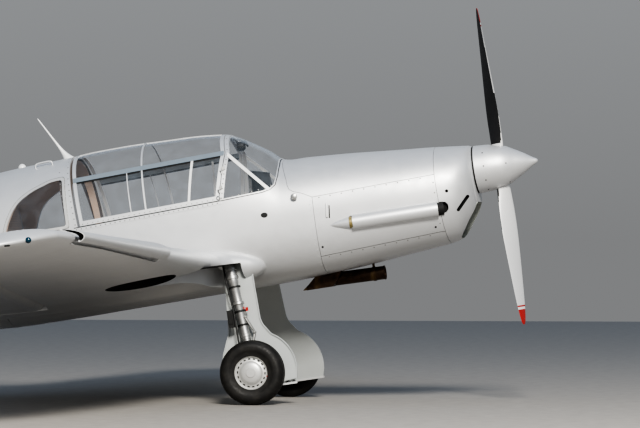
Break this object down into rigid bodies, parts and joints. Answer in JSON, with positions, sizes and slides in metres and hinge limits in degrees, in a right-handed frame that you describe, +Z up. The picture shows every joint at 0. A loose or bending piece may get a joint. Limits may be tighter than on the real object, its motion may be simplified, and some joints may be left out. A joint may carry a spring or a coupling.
{
  "type": "light touring monoplane",
  "caption": "Low-wing touring monoplane with a glazed cabin, leading edge slats, flaps, folding main wheels parked down and a swivelling tail wheel.",
  "frame": {"origin": "centre of the bounding box's footprint, on the floor that the three wheels stand on", "axes": "+X is towards the nose along the floor, +Y is port (the span), +Z is up; the machine sits nose up by 8.6 degrees on its tail wheel"},
  "size_m": [8.2596, 10.5, 2.9394],
  "materials": {
    "silver_paint": "satin",
    "grey_paint": "satin",
    "bare_metal": "satin",
    "burnt_metal": "matte",
    "clear_glass": "gloss",
    "tyre_rubber": "matte",
    "black_plastic": "matte",
    "blade_paint": "satin",
    "lining": "matte",
    "seat_cover": "matte"
  },
  "bodies": {
    "airframe": {"nose_cowl": "silver_paint", "top_cowl": "silver_paint", "side_cowl_right": "silver_paint", "side_cowl_left": "silver_paint", "lower_cowl": "silver_paint", "engine_block": "burnt_metal", "firewall": "bare_metal", "exhaust_spout": "burnt_metal", "exhaust_pipe": "burnt_metal", "cabin_tub": "silver_paint", "canopy_frame": "silver_paint", "windscreen_glass": "clear_glass", "quarter_window_right": "clear_glass", "quarter_window_left": "clear_glass", "tail_cone": "silver_paint", "rear_bulkhead": "lining", "cabin_floor": "grey_paint", "instrument_panel": "black_plastic", "front_seat_right": "seat_cover", "front_seat_left": "seat_cover", "rear_bench": "seat_cover", "control_columns": "bare_metal", "wing_right": "silver_paint", "wing_left": "silver_paint", "gear_leg_right": "bare_metal", "gear_leg_left": "bare_metal", "gear_cover_right": "grey_paint", "gear_cover_left": "grey_paint", "fin": "silver_paint", "tailplane": "silver_paint", "tail_strut_right": "silver_paint", "tail_strut_left": "silver_paint", "antenna": "bare_metal", "pitot_tube": "bare_metal"},
    "propeller": {"spinner": "silver_paint", "propeller_hub": "bare_metal", "blade_upper": "blade_paint", "blade_lower": "blade_paint"},
    "wheel_right": {"wheel_hub_right": "bare_metal", "tyre_right": "tyre_rubber"},
    "wheel_left": {"wheel_hub_left": "bare_metal", "tyre_left": "tyre_rubber"},
    "tail_fork": {"tail_fork": "grey_paint"},
    "tail_wheel": {"tail_hub": "bare_metal", "tail_tyre": "tyre_rubber"},
    "door_right": {"door_frame_right": "silver_paint", "door_glass_right": "clear_glass"},
    "door_left": {"door_frame_left": "silver_paint", "door_glass_left": "clear_glass"},
    "aileron_right": {"aileron_right": "silver_paint"},
    "aileron_left": {"aileron_left": "silver_paint"},
    "flap_right": {"flap_right": "silver_paint"},
    "flap_left": {"flap_left": "silver_paint"},
    "slat_right": {"slat_right": "silver_paint"},
    "slat_left": {"slat_left": "silver_paint"},
    "rudder": {"rudder": "silver_paint"},
    "elevator": {"elevator": "silver_paint"}
  },
  "joints": [
    {"name": "propeller_spin", "type": "hinge", "parent": "airframe", "child": "propeller", "pos_m": [3.848, 0, 1.76012], "axis": [0.9888, 0, 0.1495], "continuous": true},
    {"name": "wheel_right", "type": "hinge", "parent": "airframe", "child": "wheel_right", "pos_m": [2.11826, -0.8, 0.23734], "axis": [0, 1, 0], "continuous": true},
    {"name": "wheel_left", "type": "hinge", "parent": "airframe", "child": "wheel_left", "pos_m": [2.11826, 0.8, 0.23734], "axis": [0, 1, 0], "continuous": true},
    {"name": "tail_swivel", "type": "hinge", "parent": "airframe", "child": "tail_fork", "pos_m": [-2.92262, 0, 0.15178], "axis": [0, 0, 1], "range_deg": [-45, 45]},
    {"name": "tail_wheel", "type": "hinge", "parent": "tail_fork", "child": "tail_wheel", "pos_m": [-3.07093, 0, 0.12935], "axis": [0, 1, 0], "continuous": true},
    {"name": "door_right", "type": "hinge", "parent": "airframe", "child": "door_right", "pos_m": [1.81889, -0.51451, 1.58473], "axis": [0.0368, 0.3418, 0.9391], "range_deg": [0, 100]},
    {"name": "door_left", "type": "hinge", "parent": "airframe", "child": "door_left", "pos_m": [1.81889, 0.51451, 1.58473], "axis": [-0.0368, 0.3418, -0.9391], "range_deg": [0, 100]},
    {"name": "aileron_right", "type": "hinge", "parent": "airframe", "child": "aileron_right", "pos_m": [0.63568, -3.735, 1.00162], "axis": [-0.0991, 0.9931, -0.0625], "range_deg": [-22, 22]},
    {"name": "aileron_left", "type": "hinge", "parent": "airframe", "child": "aileron_left", "pos_m": [0.63568, 3.735, 1.00162], "axis": [0.0991, 0.9931, 0.0625], "range_deg": [-22, 22]},
    {"name": "flap_right", "type": "hinge", "parent": "airframe", "child": "flap_right", "pos_m": [0.5157, -1.66, 0.85847], "axis": [0.074, -0.9934, 0.0882], "range_deg": [0, 40]},
    {"name": "flap_left", "type": "hinge", "parent": "airframe", "child": "flap_left", "pos_m": [0.5157, 1.66, 0.85847], "axis": [-0.074, -0.9934, -0.0882], "range_deg": [0, 40]},
    {"name": "slat_right", "type": "slide", "parent": "airframe", "child": "slat_right", "axis": [0.9888, 0, 0.1495], "range_m": [-0.056, 0]},
    {"name": "slat_left", "type": "slide", "parent": "airframe", "child": "slat_left", "axis": [0.9888, 0, 0.1495], "range_m": [-0.056, 0]},
    {"name": "rudder", "type": "hinge", "parent": "airframe", "child": "rudder", "pos_m": [-3.45433, 0, 0.95916], "axis": [-0.1495, 0, 0.9888], "range_deg": [-28, 28]},
    {"name": "elevator", "type": "hinge", "parent": "airframe", "child": "elevator", "pos_m": [-3.36954, 0, 0.93355], "axis": [0, 1, 0], "range_deg": [-20, 25]}
  ],
  "couplings": [
    {"joint": "aileron_left", "follows": "aileron_right", "ratio": -1},
    {"joint": "flap_left", "follows": "flap_right", "ratio": 1}
  ]
}
